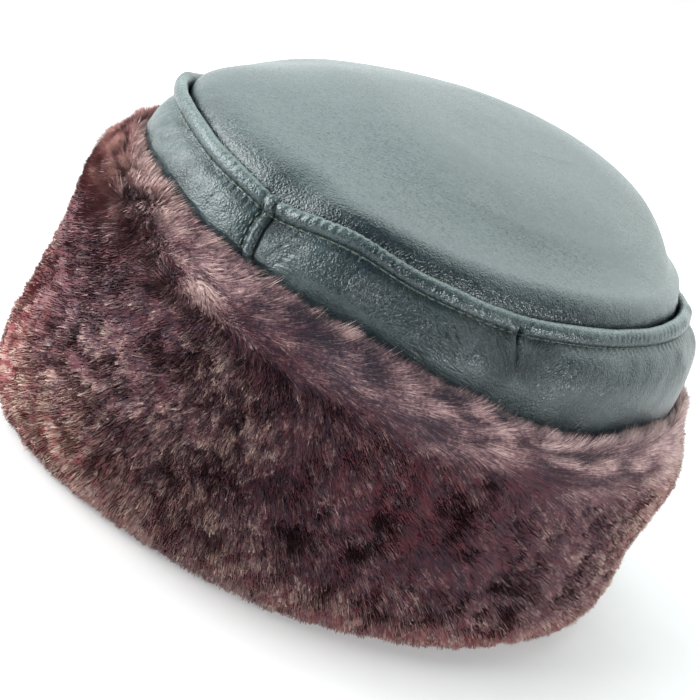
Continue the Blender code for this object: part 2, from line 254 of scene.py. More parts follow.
def noise(points, seed):
    """Smooth noise from -1 to 1 at points given in cells."""
    base = np.floor(points)
    part = points - base
    ease = part * part * (3.0 - 2.0 * part)
    base = base.astype(np.int64)
    total = 0.0
    for i in (0, 1):
        wx = ease[..., 0] if i else 1.0 - ease[..., 0]
        for j in (0, 1):
            wy = ease[..., 1] if j else 1.0 - ease[..., 1]
            for k in (0, 1):
                wz = ease[..., 2] if k else 1.0 - ease[..., 2]
                value = scrambled(seed, base[..., 0] + i, base[..., 1] + j, base[..., 2] + k)
                total = total + wx * wy * wz * value
    return 2.0 * total - 1.0


def ringed(angle, along, pitch, stretch=1.0, slant=0.0):
    """Places for noise on the band: round the hat by angle, and down it by along, stretched and slanted."""
    turn = np.radians(angle) + slant * along / RING_RADIUS
    x = RING_RADIUS * np.cos(turn) / pitch
    y = RING_RADIUS * np.sin(turn) / pitch
    return np.stack(np.broadcast_arrays(x, y, along / (pitch * stretch)), axis=-1)


def ridged(value, width):
    """1 on the lines where the noise is nought, fading to 0 at a value of width."""
    return np.clip(1.0 - np.abs(value) / width, 0.0, 1.0) ** 1.5


def interpolated(control, where):
    """Smooth points between rows of control points, with regard to their spacing. where is in rows."""
    count = len(control)
    flat = control.reshape(count, -1)
    gaps = np.linalg.norm(np.diff(control, axis=0), axis=-1).reshape(count - 1, -1).mean(axis=1)
    gaps = np.maximum(gaps, 1e-6)
    slope = np.diff(flat, axis=0) / gaps[:, None]
    tangent = np.empty_like(flat)
    before, after = gaps[:-1, None], gaps[1:, None]
    tangent[1:-1] = (slope[:-1] * after + slope[1:] * before) / (before + after)
    tangent[0], tangent[-1] = slope[0], slope[-1]
    k = np.clip(np.floor(where).astype(int), 0, count - 2)
    f = (where - k)[:, None]
    gap = gaps[k][:, None]
    points = ((1 + 2 * f) * (1 - f) ** 2 * flat[k] + f * (1 - f) ** 2 * gap * tangent[k]
              + f ** 2 * (3 - 2 * f) * flat[k + 1] + f ** 2 * (f - 1) * gap * tangent[k + 1])
    return points.reshape((len(where),) + control.shape[1:])


def grid_normals(grid):
    """Outward normals of a grid of points: rows run down the profile, columns round the hat."""
    down = np.gradient(grid, axis=0)
    round_it = np.roll(grid, -1, axis=1) - np.roll(grid, 1, axis=1)
    return unit(np.cross(down, round_it))


def walked(points):
    """How far along a line each of its points is, or down a ringed grid each row is on average."""
    steps = np.linalg.norm(np.diff(points, axis=0), axis=-1)
    return np.concatenate([[0.0], np.cumsum(steps.reshape(len(steps), -1).mean(axis=1))])


def ring_faces(rows, columns, closed=False):
    """Quads between neighbouring rows of a ringed grid, facing out where rows run down the outside."""
    upper = np.arange(rows if closed else rows - 1)
    lower = (upper + 1) % rows
    i = np.arange(columns)
    j = (i + 1) % columns
    a = upper[:, None] * columns + i
    b = lower[:, None] * columns + i
    c = lower[:, None] * columns + j
    d = upper[:, None] * columns + j
    return np.stack([a, b, c, d], axis=-1).reshape(-1, 4)


def placed(name, data):
    """A new object in the scene."""
    thing = bpy.data.objects.new(name, data)
    bpy.context.scene.collection.objects.link(thing)
    return thing


def make_mesh(name, points, faces, material):
    """A named smooth piece from points in millimetres and groups of faces with the same count of corners."""
    mesh = bpy.data.meshes.new(name)
    places = np.asarray(points, dtype=np.float64).reshape(-1, 3).copy()
    places[:, :2] += PLAN_SHIFT
    groups = [np.asarray(group) for group in faces]
    counts = np.concatenate([np.full(len(group), group.shape[1]) for group in groups])
    corners = np.concatenate([group.reshape(-1) for group in groups])
    starts = np.concatenate([[0], np.cumsum(counts)[:-1]])
    mesh.vertices.add(len(places))
    mesh.vertices.foreach_set("co", (places * MM).astype(np.float32).reshape(-1))
    mesh.loops.add(len(corners))
    mesh.loops.foreach_set("vertex_index", corners.astype(np.int32))
    mesh.polygons.add(len(counts))
    mesh.polygons.foreach_set("loop_start", starts.astype(np.int32))
    mesh.update(calc_edges=True)
    mesh.validate()
    mesh.shade_smooth()
    mesh.materials.append(material)
    return placed(name, mesh)


def add_attribute(piece, name, values):
    """A value or vector for each point of a piece, which its material reads."""
    values = np.asarray(values, dtype=np.float32)
    kind = "FLOAT" if values.ndim == 1 else "FLOAT_VECTOR"
    layer = piece.data.attributes.new(name, kind, "POINT")
    layer.data.foreach_set("value" if values.ndim == 1 else "vector", values.reshape(-1))


class Nodes:
    """Short calls for building a tree of nodes."""

    def __init__(self, tree):
        self.tree = tree

    def add(self, kind, values=None, **settings):
        node = self.tree.nodes.new(kind)
        for key, value in settings.items():
            setattr(node, key, value)
        for key, value in (values or {}).items():
            if isinstance(value, bpy.types.NodeSocket):
                self.tree.links.new(value, node.inputs[key])
            else:
                node.inputs[key].default_value = value
        return node

    def attribute(self, name, output="Fac"):
        return self.add("ShaderNodeAttribute", attribute_name=name).outputs[output]

    def math(self, operation, a, b, clamp=False):
        return self.add("ShaderNodeMath", {0: a, 1: b}, operation=operation, use_clamp=clamp).outputs[0]

    def plus(self, a, b):
        return self.math("ADD", a, b)

    def times(self, a, b, clamp=False):
        return self.math("MULTIPLY", a, b, clamp)

    def ramp(self, factor, stops, interpolation="LINEAR"):
        node = self.add("ShaderNodeValToRGB", {0: factor})
        ramp = node.color_ramp
        ramp.interpolation = interpolation
        while len(ramp.elements) < len(stops):
            ramp.elements.new(0.5)
        for element, (place, colour) in zip(ramp.elements, stops):
            element.position = place
            element.color = (*colour, 1.0)
        return node.outputs["Color"]

    def mix(self, factor, a, b, blend="MIX"):
        a, b = ((*colour, 1.0) if isinstance(colour, tuple) else colour for colour in (a, b))
        values = {0: factor, 6: a, 7: b}
        return self.add("ShaderNodeMix", values, data_type="RGBA", blend_type=blend).outputs[2]

    def noise(self, vector, scale, detail=2.0, roughness=0.5, distortion=0.0):
        return self.add("ShaderNodeTexNoise", {
            "Vector": vector, "Scale": scale, "Detail": detail,
            "Roughness": roughness, "Distortion": distortion,
        }).outputs["Fac"]

    def cells(self, vector, scale):
        """How far a place is from the edge of its cell."""
        values = {"Vector": vector, "Scale": scale}
        return self.add("ShaderNodeTexVoronoi", values, feature="DISTANCE_TO_EDGE").outputs[0]

    def swerved(self, vector, scale, size):
        """Places that are moved a little by noise, so that lines through them aren't straight."""
        values = {"Vector": vector, "Scale": scale, "Detail": 2.0}
        cloud = self.add("ShaderNodeTexNoise", values).outputs["Color"]
        move = self.add("ShaderNodeVectorMath", {0: cloud, 1: (size,) * 3}, operation="MULTIPLY").outputs[0]
        return self.add("ShaderNodeVectorMath", {0: vector, 1: move}, operation="ADD").outputs[0]

    def around(self, value, size):
        """A value from 0 to 1 as a change from -size / 2 to size / 2."""
        return self.times(self.math("SUBTRACT", value, 0.5), size)

    def bump(self, height, strength, distance, normal=None):
        values = {"Height": height, "Strength": strength, "Distance": distance}
        if normal is not None:
            values["Normal"] = normal
        return self.add("ShaderNodeBump", values).outputs["Normal"]

    def towards(self, vector, way):
        """How far a vector goes along a way."""
        return self.add("ShaderNodeVectorMath", {0: vector, 1: way}, operation="DOT_PRODUCT").outputs["Value"]

    def eased(self, value, given, wanted):
        """A smooth change from one wanted value to the other between two given ones."""
        limits = dict(zip(("From Min", "From Max", "To Min", "To Max"), given + wanted))
        node = self.add("ShaderNodeMapRange", {"Value": value, **limits}, interpolation_type="SMOOTHSTEP")
        return node.outputs["Result"]


class Look(Nodes):
    """The nodes of one material, with places on the object at hand."""

    def __init__(self, name):
        self.material = bpy.data.materials.new(name)
        self.material.use_nodes = True
        super().__init__(self.material.node_tree)
        self.shader = self.tree.nodes["Principled BSDF"]
        self.where = self.add("ShaderNodeTexCoord").outputs["Object"]

    def link(self, socket, name):
        self.tree.links.new(socket, self.shader.inputs[name])

    def set(self, values):
        """Sets what is the same all over on the shader's own sockets."""
        for name, value in values.items():
            self.shader.inputs[name].default_value = value


GRAIN_SWERVE = 0.0016
NET_SCALES = (400.0, 780.0)
NET_EDGES = [
    (0.0, (0.0, 0.0, 0.0)), (0.08, (0.42, 0.42, 0.42)), (0.28, (0.80, 0.80, 0.80)), (0.55, (1.0, 1.0, 1.0)),
]
PORE_EDGES = [(0.0, (0.0, 0.0, 0.0)), (0.30, (1.0, 1.0, 1.0))]
LEATHER_TONES = [(0.3, (0.009, 0.018, 0.024)), (0.7, (0.016, 0.030, 0.036))]
LEATHER_SPECKLE = [(0.35, (0.65, 0.65, 0.68)), (0.66, (1.38, 1.38, 1.34))]
# The pale colour that is mixed in for painted light: the welt's crest (also its wear), the lit left side, the
# panel's middle
LEATHER_LIT_AND_WORN = (0.085, 0.124, 0.122)
# Painted shade for the leather's creases
LEATHER_CREASE_SHADE = (0.004, 0.007, 0.009)


def leather_material(name):
    """Soft nappa leather: dark grey-green, pebbled and creased, with random tone; painted paler on the welt's
    crest (partly wear, partly a painted highlight), on the lit left side and towards the panel's middle, and
    darker in its creases as painted shade.
    """
    n = Look(name)
    patches = n.noise(n.where, 28.0, 4.0, 0.6)
    speckle = n.noise(n.where, 1000.0, 3.0, 0.7)
    pores = n.cells(n.swerved(n.where, 420.0, GRAIN_SWERVE), 1050.0)
    flow, strength = n.attribute("flow", "Vector"), n.attribute("wrinkle")
    swerved = n.swerved(flow, 480.0, GRAIN_SWERVE)
    nets = [n.ramp(n.cells(swerved, scale), NET_EDGES) for scale in NET_SCALES]
    folds = n.plus(n.times(nets[0], 0.55), n.times(nets[1], 0.45))
    # lightened: the share of the pale colour, from painted light on the welt's crest, the lit left side and
    # the panel's middle, with wear on the welt and random tone
    lightened = n.times(n.attribute("painted_light_and_tone"), 0.62, clamp=True)
    plain = n.mix(lightened, n.ramp(patches, LEATHER_TONES), LEATHER_LIT_AND_WORN)
    mottled = n.mix(1.0, plain, n.ramp(speckle, LEATHER_SPECKLE), "MULTIPLY")
    # Painted shade: the creases are darkened towards a near black colour, and the same mask makes them
    # rougher
    sunken = n.times(n.math("SUBTRACT", 1.0, folds), n.times(strength, 0.8))
    n.link(n.mix(sunken, mottled, LEATHER_CREASE_SHADE), "Base Color")
    gloss = n.plus(n.times(patches, 0.10), n.times(speckle, 0.18))
    n.link(n.plus(n.plus(gloss, 0.14), n.times(sunken, 0.5)), "Roughness")
    n.set({"Specular IOR Level": 0.78, "Specular Tint": (0.93, 1.0, 0.985, 1.0)})
    creased = n.bump(folds, strength, 0.0008)
    pebbled = n.bump(n.noise(n.where, 360.0, 4.0, 0.62, 0.6), 0.27, 0.0007, creased)
    n.link(n.bump(n.ramp(pores, PORE_EDGES), 0.36, 0.00024, pebbled), "Normal")
    return n.material


def matt_material(name, grain, dark, light, roughness, tooth):
    """A matt material in two shades: grain is its noise's scale, detail and roughness, tooth its bump."""
    n = Look(name)
    shade = n.noise(n.where, *grain)
    n.link(n.ramp(shade, [(0.3, dark), (0.7, light)]), "Base Color")
    n.set({"Roughness": roughness})
    n.link(n.bump(shade, *tooth), "Normal")
    return n.material


# Near black at the roots: partly the dye, partly painted shade deep in the pile
PILE_ROOT_DYE_AND_SHADE = (0.042, 0.024, 0.034)
PILE_RED = (0.250, 0.040, 0.050)
PILE_FACE = [
    (0.14, (0.026, 0.019, 0.033)), (0.34, (0.060, 0.038, 0.056)), (0.48, (0.180, 0.106, 0.126)),
    (0.62, (0.430, 0.285, 0.275)), (0.82, (0.840, 0.670, 0.530)),
]
# The pile over the lip in lighter colours than the face's: a lit copy, painted light on the top shelf
PILE_SHELF_LIT = [
    (0.14, (0.040, 0.034, 0.050)), (0.36, (0.230, 0.135, 0.155)), (0.54, (0.560, 0.350, 0.355)),
    (0.82, (0.880, 0.660, 0.620)),
]


def fur_material(name):
    """Dense pile: near black at its roots, partly dye and partly painted shade deep in the pile, plum and
    burgundy along it, with dusty pink and beige tips, and lighter colours over the lip as painted light on
    the top shelf.
    """
    n = Look(name)
    spot = n.attribute("spot", "Vector")
    along = n.attribute("along")
    strand = n.attribute("strand")
    fine = n.noise(spot, 950.0, 2.0, 0.6)
    grain = n.noise(n.where, 900.0, 2.0, 0.6)
    tone = n.plus(n.attribute("tone"), n.around(fine, 0.75))
    tone = n.plus(tone, n.around(grain, 1.0))
    tone = n.plus(tone, n.around(strand, 0.28))
    flecks = n.ramp(n.noise(spot, 380.0, 2.0, 0.6), [(0.42, (0, 0, 0)), (0.62, (1, 1, 1))])
    red = n.times(n.attribute("red"), n.plus(n.times(flecks, 1.3), 0.35), clamp=True)
    tips = n.mix(red, n.ramp(tone, PILE_FACE), PILE_RED)
    # Over the lip the pile takes the lighter shelf colours: painted light on the top shelf
    tips = n.mix(n.attribute("shelf"), tips, n.ramp(tone, PILE_SHELF_LIT))
    # Towards the roots the pile turns near black: partly dye, partly painted shade deep in the pile
    depth = n.plus(along, n.around(strand, 0.2))
    reach = n.ramp(depth, [(0.0, (0, 0, 0)), (0.60, (1, 1, 1))], "EASE")
    n.link(n.mix(reach, PILE_ROOT_DYE_AND_SHADE, tips), "Base Color")
    n.set({"Roughness": 0.60, "Specular IOR Level": 0.25})
    n.set({"Sheen Weight": 0.22, "Sheen Roughness": 0.4, "Sheen Tint": (0.95, 0.78, 0.76, 1.0)})
    return n.material


# The crown band. WeltPoint is measured from the seam, and LowPoint's share is of the cuff's height there
BAND_COLUMNS = 1200
WeltPoint = namedtuple("WeltPoint", "offset rise")
WELT_PROFILE = rows_of(WeltPoint, (
    (0.35, -7.0), (0.30, -2.4), (0.55, 0.0), (1.5, 1.15), (2.9, 1.15), (4.1, 0.25), (4.75, -1.3),
    (4.60, -2.6), (4.15, -3.35), (5.1, -4.2), (7.0, -5.5), (9.7, -8.8), (11.1, -11.8),
))
LowPoint = namedtuple("LowPoint", "share offset relief tuck")
LOW_PROFILE = rows_of(LowPoint, (
    (1.02, -16.1, 1.0, 1.0), (0.965, -17.1, 0.4, 0.7), (0.90, -18.4, 0.0, 0.0),
    (0.45, -18.4, 0.0, 0.0),
))
LOW_TUCK = Swell(178, -1.5, 40)
CREST_ROW = 3.4
STITCH_ROW = 8.0
BAND_SHOWN = 34.0
DEGREE = 1.95
RIDGE_AWAY, RIDGE_WIDE = 2.1, 1.55
GROOVE_DEPTH, GROOVE_WIDE = 1.30, 0.62
JOIN_STITCH_AWAY = 4.5
JOIN_STITCH_ANGLE = JOIN_ANGLE - 2.55
JOIN_STITCH_REACH = (5.0, 27.0)
TUCK_DEPTH, TUCK_WIDE, TUCK_SIDES = 1.35, 0.60, 0.85
PUCKER_RADIUS = 108.0
# The band's left side round this angle is painted paler: painted light on the band's lit left side
LIT_SIDE_ANGLE, LIT_SIDE_SPREAD = 72.0, 34.0
Wrinkles = namedtuple("Wrinkles", "angle wide along tall slant pitch stretch depth net")
BAND_WRINKLES = rows_of(Wrinkles, (
    (114.5, 3.4, 12.0, 12.0, 0.75, 3.0, 5.0, 0.55, 0.9),
    (131.0, 7.0, 10.0, 9.0, 0.35, 2.8, 3.0, 0.30, 0.7),
    (145.0, 7.5, 13.0, 9.0, -0.45, 2.4, 2.6, 0.40, 1.0),
    (154.0, 4.5, 11.0, 8.0, -0.65, 2.2, 3.2, 0.50, 1.0),
    (161.0, 4.0, 10.0, 8.0, 0.65, 2.3, 2.4, 0.28, 0.9),
    (172.0, 7.0, 19.0, 9.0, 0.70, 5.0, 1.6, 0.18, 0.30),
    (96.0, 8.0, 13.0, 9.0, 0.50, 3.4, 2.4, 0.16, 0.35),
    (78.0, 10.0, 12.0, 10.0, 0.40, 4.0, 2.6, 0.12, 0.15),
    (200.0, 14.0, 14.0, 9.0, 0.60, 6.0, 1.5, 0.08, 0.15),
    (245.0, 20.0, 12.0, 9.0, -0.3, 3.2, 3.0, 0.30, 0.4),
    (292.0, 18.0, 13.0, 9.0, 0.4, 3.4, 3.0, 0.32, 0.4),
    (340.0, 22.0, 12.0, 9.0, -0.25, 3.2, 3.0, 0.30, 0.4),
    (25.0, 18.0, 13.0, 9.0, 0.35, 3.2, 3.0, 0.28, 0.3),
))


def band_controls(angle):
    """The band's outer section as control points for every angle, from the groove down behind the cuff."""
    rows = []
    relief = swelling(BAND_SWELLS, angle)
    pull = swelling(EDGE_PULL, angle)
    for index, row in enumerate(WELT_PROFILE):
        height = seam_height(angle) + row.rise
        fullness = min(max((index - 1) / 6.0, 0.0), 1.0)
        tucked = min(max((index - 7) / 4.0, 0.0), 1.0) * swelling([LEFT_TUCK], angle)
        offset = SEAM_OFFSET + row.offset + pull + tucked + fullness * relief
        rows.append(on_crown(angle, offset, height))
    for row in LOW_PROFILE:
        height = cuff_height(angle) * row.share
        offset = row.offset + relief * row.relief + swelling([LOW_TUCK], angle) * row.tuck
        rows.append(on_crown(angle, offset, height))
    return np.array(rows)


def band_relief(angle, along):
    """How far the band's fine folds lift it, and how much paler it is painted: painted light and shade with
    random tone. along is down from the crest.
    """
    relief = np.zeros(np.broadcast(angle, along).shape)
    crease = np.zeros_like(relief)
    for patch in BAND_WRINKLES:
        fade = spot_fade(angle, along, patch, patch.along)
        places = ringed(angle, along, patch.pitch, patch.stretch, patch.slant)
        wobble = noise(ringed(angle, along, 7.0), int(patch.angle) + 3)
        places = places + wobble[..., None] * (0.55, 0.55, 0.2)
        lines = ridged(noise(places, int(patch.angle)), 0.30)
        finer = ridged(noise(places * 1.9 + 7.0, int(patch.angle) + 1), 0.26)
        cut = fade * (lines + 0.55 * finer)
        relief -= patch.depth * cut
        crease = np.maximum(crease, np.clip(cut, 0.0, 1.0))
        relief += 0.35 * patch.depth * fade * noise(places * 0.6, int(patch.angle) + 2)
    below = rising(along - 5.0, 6.0)
    relief += 0.60 * below * noise(ringed(angle, along, 12.0, 0.9, 0.6), 11)
    relief += 0.20 * below * noise(ringed(angle, along, 5.5, 1.0, 0.6), 12)

    # the join: a rounded ridge, its sunken stitch line in front and a sharp groove behind
    away = turned(angle - JOIN_ANGLE - 0.010 * along) * DEGREE
    reach = rising(along + 2.5, 3.0)
    ridge = reach * bell(away + RIDGE_AWAY, RIDGE_WIDE, 4)
    raised = 0.30 + 1.05 * smooth((along - 2.5) / 3.0)
    relief += ridge * (raised + 0.22 * np.cos(2.0 * math.pi * (along / STITCH_PITCH + 0.12 * away)))
    relief -= reach * GROOVE_DEPTH * bell(away, GROOVE_WIDE)
    relief -= reach * 0.55 * bell(away + JOIN_STITCH_AWAY, 0.8)
    crease = np.maximum(crease, reach * bell(away, 0.75))

    # the tuck: a short crease that starts at the stitch line
    tuck = turned(angle - CREASE_ANGLE + 0.035 * (along - 5.0)) * DEGREE
    short = rising(along - 3.0, 1.5) * rising(17.0 - along, 9.0)
    relief -= short * TUCK_DEPTH * bell(tuck, TUCK_WIDE)
    relief += short * TUCK_SIDES * bell(np.abs(tuck) - 2.2, 1.4)
    crease = np.maximum(crease, short * bell(tuck, TUCK_WIDE))
    seam = bell(along - 6.0, 0.7) + bell(along + 3.2, 1.0)
    crease = np.maximum(crease, 0.8 * seam)

    # puckers where the stitches draw the leather in, and the sunken stitch line itself
    wander = 0.8 * noise(ringed(angle, along * 0.0, 16.0), 25)
    phase = np.radians(angle) * PUCKER_RADIUS / STITCH_PITCH + wander
    drawn = bell(along - 6.2, 2.6) * (0.6 + 0.5 * noise(ringed(angle, along, 9.0), 21))
    relief += 0.16 * drawn * np.cos(2.0 * math.pi * phase)
    welt = bell(along - 1.8, 2.6) * (0.5 + 0.7 * noise(ringed(angle, along, 12.0), 22))
    relief += 0.17 * welt * np.cos(2.0 * math.pi * (phase + 0.10 * along))
    relief += 0.25 * bell(along - 1.0, 3.0) * noise(ringed(angle, along, 8.0, 3.0), 23)
    # Painted light and shade, with random tone: paler on the welt's crest (wear and a painted highlight),
    # darker in the creases, join, tuck and seam lines (painted shade), and paler on the lit left side round
    # 72 degrees (painted light)
    painted_light_and_tone = 0.9 * bell(along - 0.6, 2.4) - 0.6 * crease
    lightened = bell(turned(angle - LIT_SIDE_ANGLE), LIT_SIDE_SPREAD)
    painted_light_and_tone += 0.35 * noise(ringed(angle, along, 18.0), 24) + 0.50 * lightened
    return relief, painted_light_and_tone


def band_flow(angle, along):
    """The way that the finest wrinkles run, as places for the leather's own net, and how strong it is."""
    slant, strength = 0.0, 0.0
    for patch in BAND_WRINKLES:
        fade = bell(turned(angle - patch.angle), 1.3 * patch.wide)
        slant = slant + fade * patch.slant
        depth = bell(along - patch.along, 1.4 * patch.tall)
        strength = np.maximum(strength, fade * depth * patch.net)
    places = ringed(angle, along, 1.0, 1.25, slant)
    strength = strength * (0.85 + 0.9 * noise(ringed(angle, along, 8.0), 41))
    below = rising(along - 4.5, 2.0)
    welt = 0.02 * bell(along - 1.0, 4.0)
    return places, np.clip(strength * below + 0.04 * below + welt, 0.0, 1.0)


def make_band():
    """The band with its welt, join, tuck and folds, and its plain inner side."""
    angle = 360.0 * np.arange(BAND_COLUMNS) / BAND_COLUMNS
    control = band_controls(angle)
    last = len(control) - 1
    where = np.concatenate([
        np.linspace(0.0, 1.0, 3)[:-1], np.linspace(1.0, 10.0, 34)[:-1], np.linspace(10.0, 14.2, 24)[:-1],
        np.linspace(14.2, last, 5),
    ])
    grid = interpolated(control, where)
    arc = walked(grid)
    crest = np.interp(CREST_ROW, where, arc)
    along = (arc - crest)[:, None]
    relief, painted_light_and_tone = band_relief(angle[None, :], along)
    shown = rising(along + 3.6, 1.2) * rising(BAND_SHOWN - along, 6.0)
    outer = grid + grid_normals(grid) * (relief * shown)[..., None]

    pull = swelling(EDGE_PULL, angle)
    hem = [
        oval(angle, HIDDEN_OFFSET, HEM_HEIGHT), oval(angle, HIDDEN_OFFSET - LEATHER, HEM_HEIGHT),
        on_crown(angle, HIDDEN_OFFSET - LEATHER, cuff_height(angle) * 0.45),
        on_crown(angle, HIDDEN_OFFSET - LEATHER, cuff_height(angle) * 0.97),
        on_crown(angle, BAND_OFFSET - LEATHER + pull, seam_height(angle) - 15.5),
        on_crown(angle, SEAM_OFFSET + 5.6 + pull, seam_height(angle) - 11.0),
        on_crown(angle, SEAM_OFFSET + 0.35 + pull, seam_height(angle) - 9.4),
    ]
    points = np.concatenate([outer, np.array(hem)])
    rows = len(points)
    faces = ring_faces(rows, BAND_COLUMNS, closed=True)
    piece = make_mesh("band_leather", points, [faces], leather)
    piece.data.materials.append(lining)
    inner = np.zeros(len(faces), dtype=np.int32)
    inner[(rows - len(hem)) * BAND_COLUMNS:(rows - 1) * BAND_COLUMNS] = 1
    piece.data.polygons.foreach_set("material_index", inner)
    none = np.zeros((len(hem), BAND_COLUMNS))
    # the band's painted light and shade, with its random tone, for the leather's pale mix
    add_attribute(piece, "painted_light_and_tone", np.concatenate([painted_light_and_tone * shown, none]).reshape(-1))
    flow, strength = band_flow(angle[None, :], along)
    add_attribute(piece, "flow", np.concatenate([flow, np.array(hem)]).reshape(-1, 3) * MM)
    add_attribute(piece, "wrinkle", np.concatenate([strength, none]).reshape(-1))
    return piece, outer, where, arc - crest


# The top panel: how far in from the seam each ring lies, and how far above it
TOP_COLUMNS = 400
PanelRing = namedtuple("PanelRing", "inset rise")
PANEL_RINGS = rows_of(PanelRing, (
    (GAP, -FLANGE_DEPTH), (GAP, -2.6), (1.2, 0.7), (3.8, 4.3),
    (8.0, 7.7), (14.0, 10.6), (23.0, 14.0), (38.0, 18.0),
    (56.0, PUFF_HEIGHT), (72.0, PUFF_HEIGHT + 0.2),
))
PANEL_INSIDE = rows_of(PanelRing, (
    (GAP + LEATHER, -FLANGE_DEPTH), (GAP + LEATHER, -2.6), (5.5, 2.4),
    (11.0, 6.2), (24.0, 11.5), (38.0, 15.4), (56.0, 17.7),
))
SAG_OVERHANG = 1.8


def plan_relief(points):
    """How far the panel's dents and mounds lift it."""
    total = 0.0
    for row in PANEL_MOUNDS:
        away = np.hypot(points[..., 0] - row.x, points[..., 1] - row.y)
        total = total + row.size * bell(away, row.reach)
    return total


def panel_loop(angle, inset, rise):
    """One ring of the panel, which turns from the seam's heights and lean to the puff's own."""
    share = min(max(inset / PANEL_TILT_FADE, 0.0), 1.0)
    inward = share * share * (3.0 - 2.0 * share)
    near = min(inset, EVEN_INSET)
    size = 1.0 - near / HALF_WIDTH
    even = [(half + SEAM_OFFSET - inset) / (half + SEAM_OFFSET - near) for half in (HALF_WIDTH, HALF_LENGTH)]
    settled = EDGE_HEIGHT + size * tilt_of((PUFF_TILT[0] * even[0], PUFF_TILT[1] * even[1]), angle)
    slack = swelling(PANEL_SLACK, angle) * max(1.0 - inset / SLACK_REACH, 0.0)
    lifted = rise * (1.0 - slack) if rise > 0.0 else rise
    share_in = min(max((inset - GAP) / 2.6, 0.0), 1.0)
    lifted = lifted + swelling(MARGIN_PUFF, angle) * math.exp(-((inset - 6.0) / 7.0) ** 2) * share_in
    lifted = lifted - seam_sag(angle) * (1.0 - inward) * share_in
    even_edge = seam_height(angle) - float(smooth(inset / 13.0)) * swelling(EDGE_SWELLS, angle)
    height = (1.0 - inward) * even_edge + inward * settled + lifted
    dx, dy = crown_shift(height, angle)
    overhang = SAG_OVERHANG * seam_sag(angle) / SEAM_SAG.size + swelling(OVERHANG, angle)
    overhang = overhang * share_in * math.exp(-((inset - 3.5) / 5.0) ** 2)
    offset = SEAM_OFFSET - inset + swelling(EDGE_PULL, angle) + overhang
    points = oval(angle, offset, height, (dx + inward * PUFF_SHIFT[0], dy + inward * PUFF_SHIFT[1]))
    points[..., 2] += inward * plan_relief(points)
    return points


def make_top():
    """The puffed panel with its seam allowance, drawn in a little all along the seam."""
    angle = 360.0 * np.arange(TOP_COLUMNS) / TOP_COLUMNS
    where = np.concatenate([[0.0, 0.5], np.linspace(1.0, 5.0, 34)[:-1], np.linspace(5.0, 9.0, 34)])
    outer = np.array([panel_loop(angle, *ring) for ring in interpolated(np.array(PANEL_RINGS), where)])
    arc = walked(outer)
    arc = (arc - arc[2])[:, None]
    angles = angle[None, :]
    seen = rising(arc, 2.0)
    near = seen * bell(arc, 9.0)
    relief = 0.26 * near * noise(ringed(angles, arc, 6.5, 2.2), 31)
    relief += 0.10 * near * noise(ringed(angles, arc, 2.6, 2.5), 32)
    middle = seen * rising(arc, 25.0)
    relief += 0.14 * middle * noise(outer / 24.0, 33)
    relief += 0.06 * seen * noise(outer / 8.0, 34)
    swerve = noise(outer / 9.0, 35)[..., None] * 0.5
    fine = ridged(noise(ringed(angles, arc, 3.0, 2.5, 0.3) + swerve, 36), 0.22)
    creased = bell(arc - 12.0, 11.0) * bell(turned(angles - 150.0), 26.0)
    relief -= 0.13 * creased * fine
    # Painted light and shade, with random tone: paler towards the panel's raised middle, darker near the
    # seam's groove
    painted_light_and_tone = 0.30 * noise(outer / 20.0, 37) + 0.25 * rising(arc, 20.0)
    outer = outer - grid_normals(outer) * relief[..., None]
    inner = np.array([panel_loop(angle, *ring) for ring in PANEL_INSIDE])
    points = np.concatenate([outer[::-1], inner])
    rows = len(points)
    faces = ring_faces(rows, TOP_COLUMNS)
    count = rows * TOP_COLUMNS
    column = np.arange(TOP_COLUMNS)
    after = (column + 1) % TOP_COLUMNS
    peaks = np.array([outer[-1].mean(axis=0) + (0, 0, 0.1), inner[-1].mean(axis=0) + (0, 0, 0.1)])
    top_cap = np.stack([column, after, np.full(TOP_COLUMNS, count)], axis=1)
    last = (rows - 1) * TOP_COLUMNS
    low_cap = np.stack([last + after, last + column, np.full(TOP_COLUMNS, count + 1)], axis=1)
    piece = make_mesh("top_leather", np.concatenate([points.reshape(-1, 3), peaks]),
                      [faces, top_cap, low_cap], leather)
    piece.data.materials.append(lining)
    marks = np.zeros(len(faces) + 2 * TOP_COLUMNS, dtype=np.int32)
    marks[len(outer) * TOP_COLUMNS:len(faces)] = 1
    marks[-TOP_COLUMNS:] = 1
    piece.data.polygons.foreach_set("material_index", marks)
    values = np.concatenate([painted_light_and_tone[::-1].reshape(-1), np.zeros(len(inner) * TOP_COLUMNS), [0.2, 0.0]])
    add_attribute(piece, "painted_light_and_tone", values)
    flow = np.concatenate([outer[::-1].reshape(-1, 3), inner.reshape(-1, 3), peaks])
    add_attribute(piece, "flow", flow * MM)
    strength = 0.03 + 0.10 * bell(arc - 6.0, 8.0) * bell(turned(angles - 140.0), 40.0)
    strength = (strength * seen)[::-1].reshape(-1)
    add_attribute(piece, "wrinkle", np.concatenate([strength, np.zeros(len(inner) * TOP_COLUMNS + 2)]))
    return piece


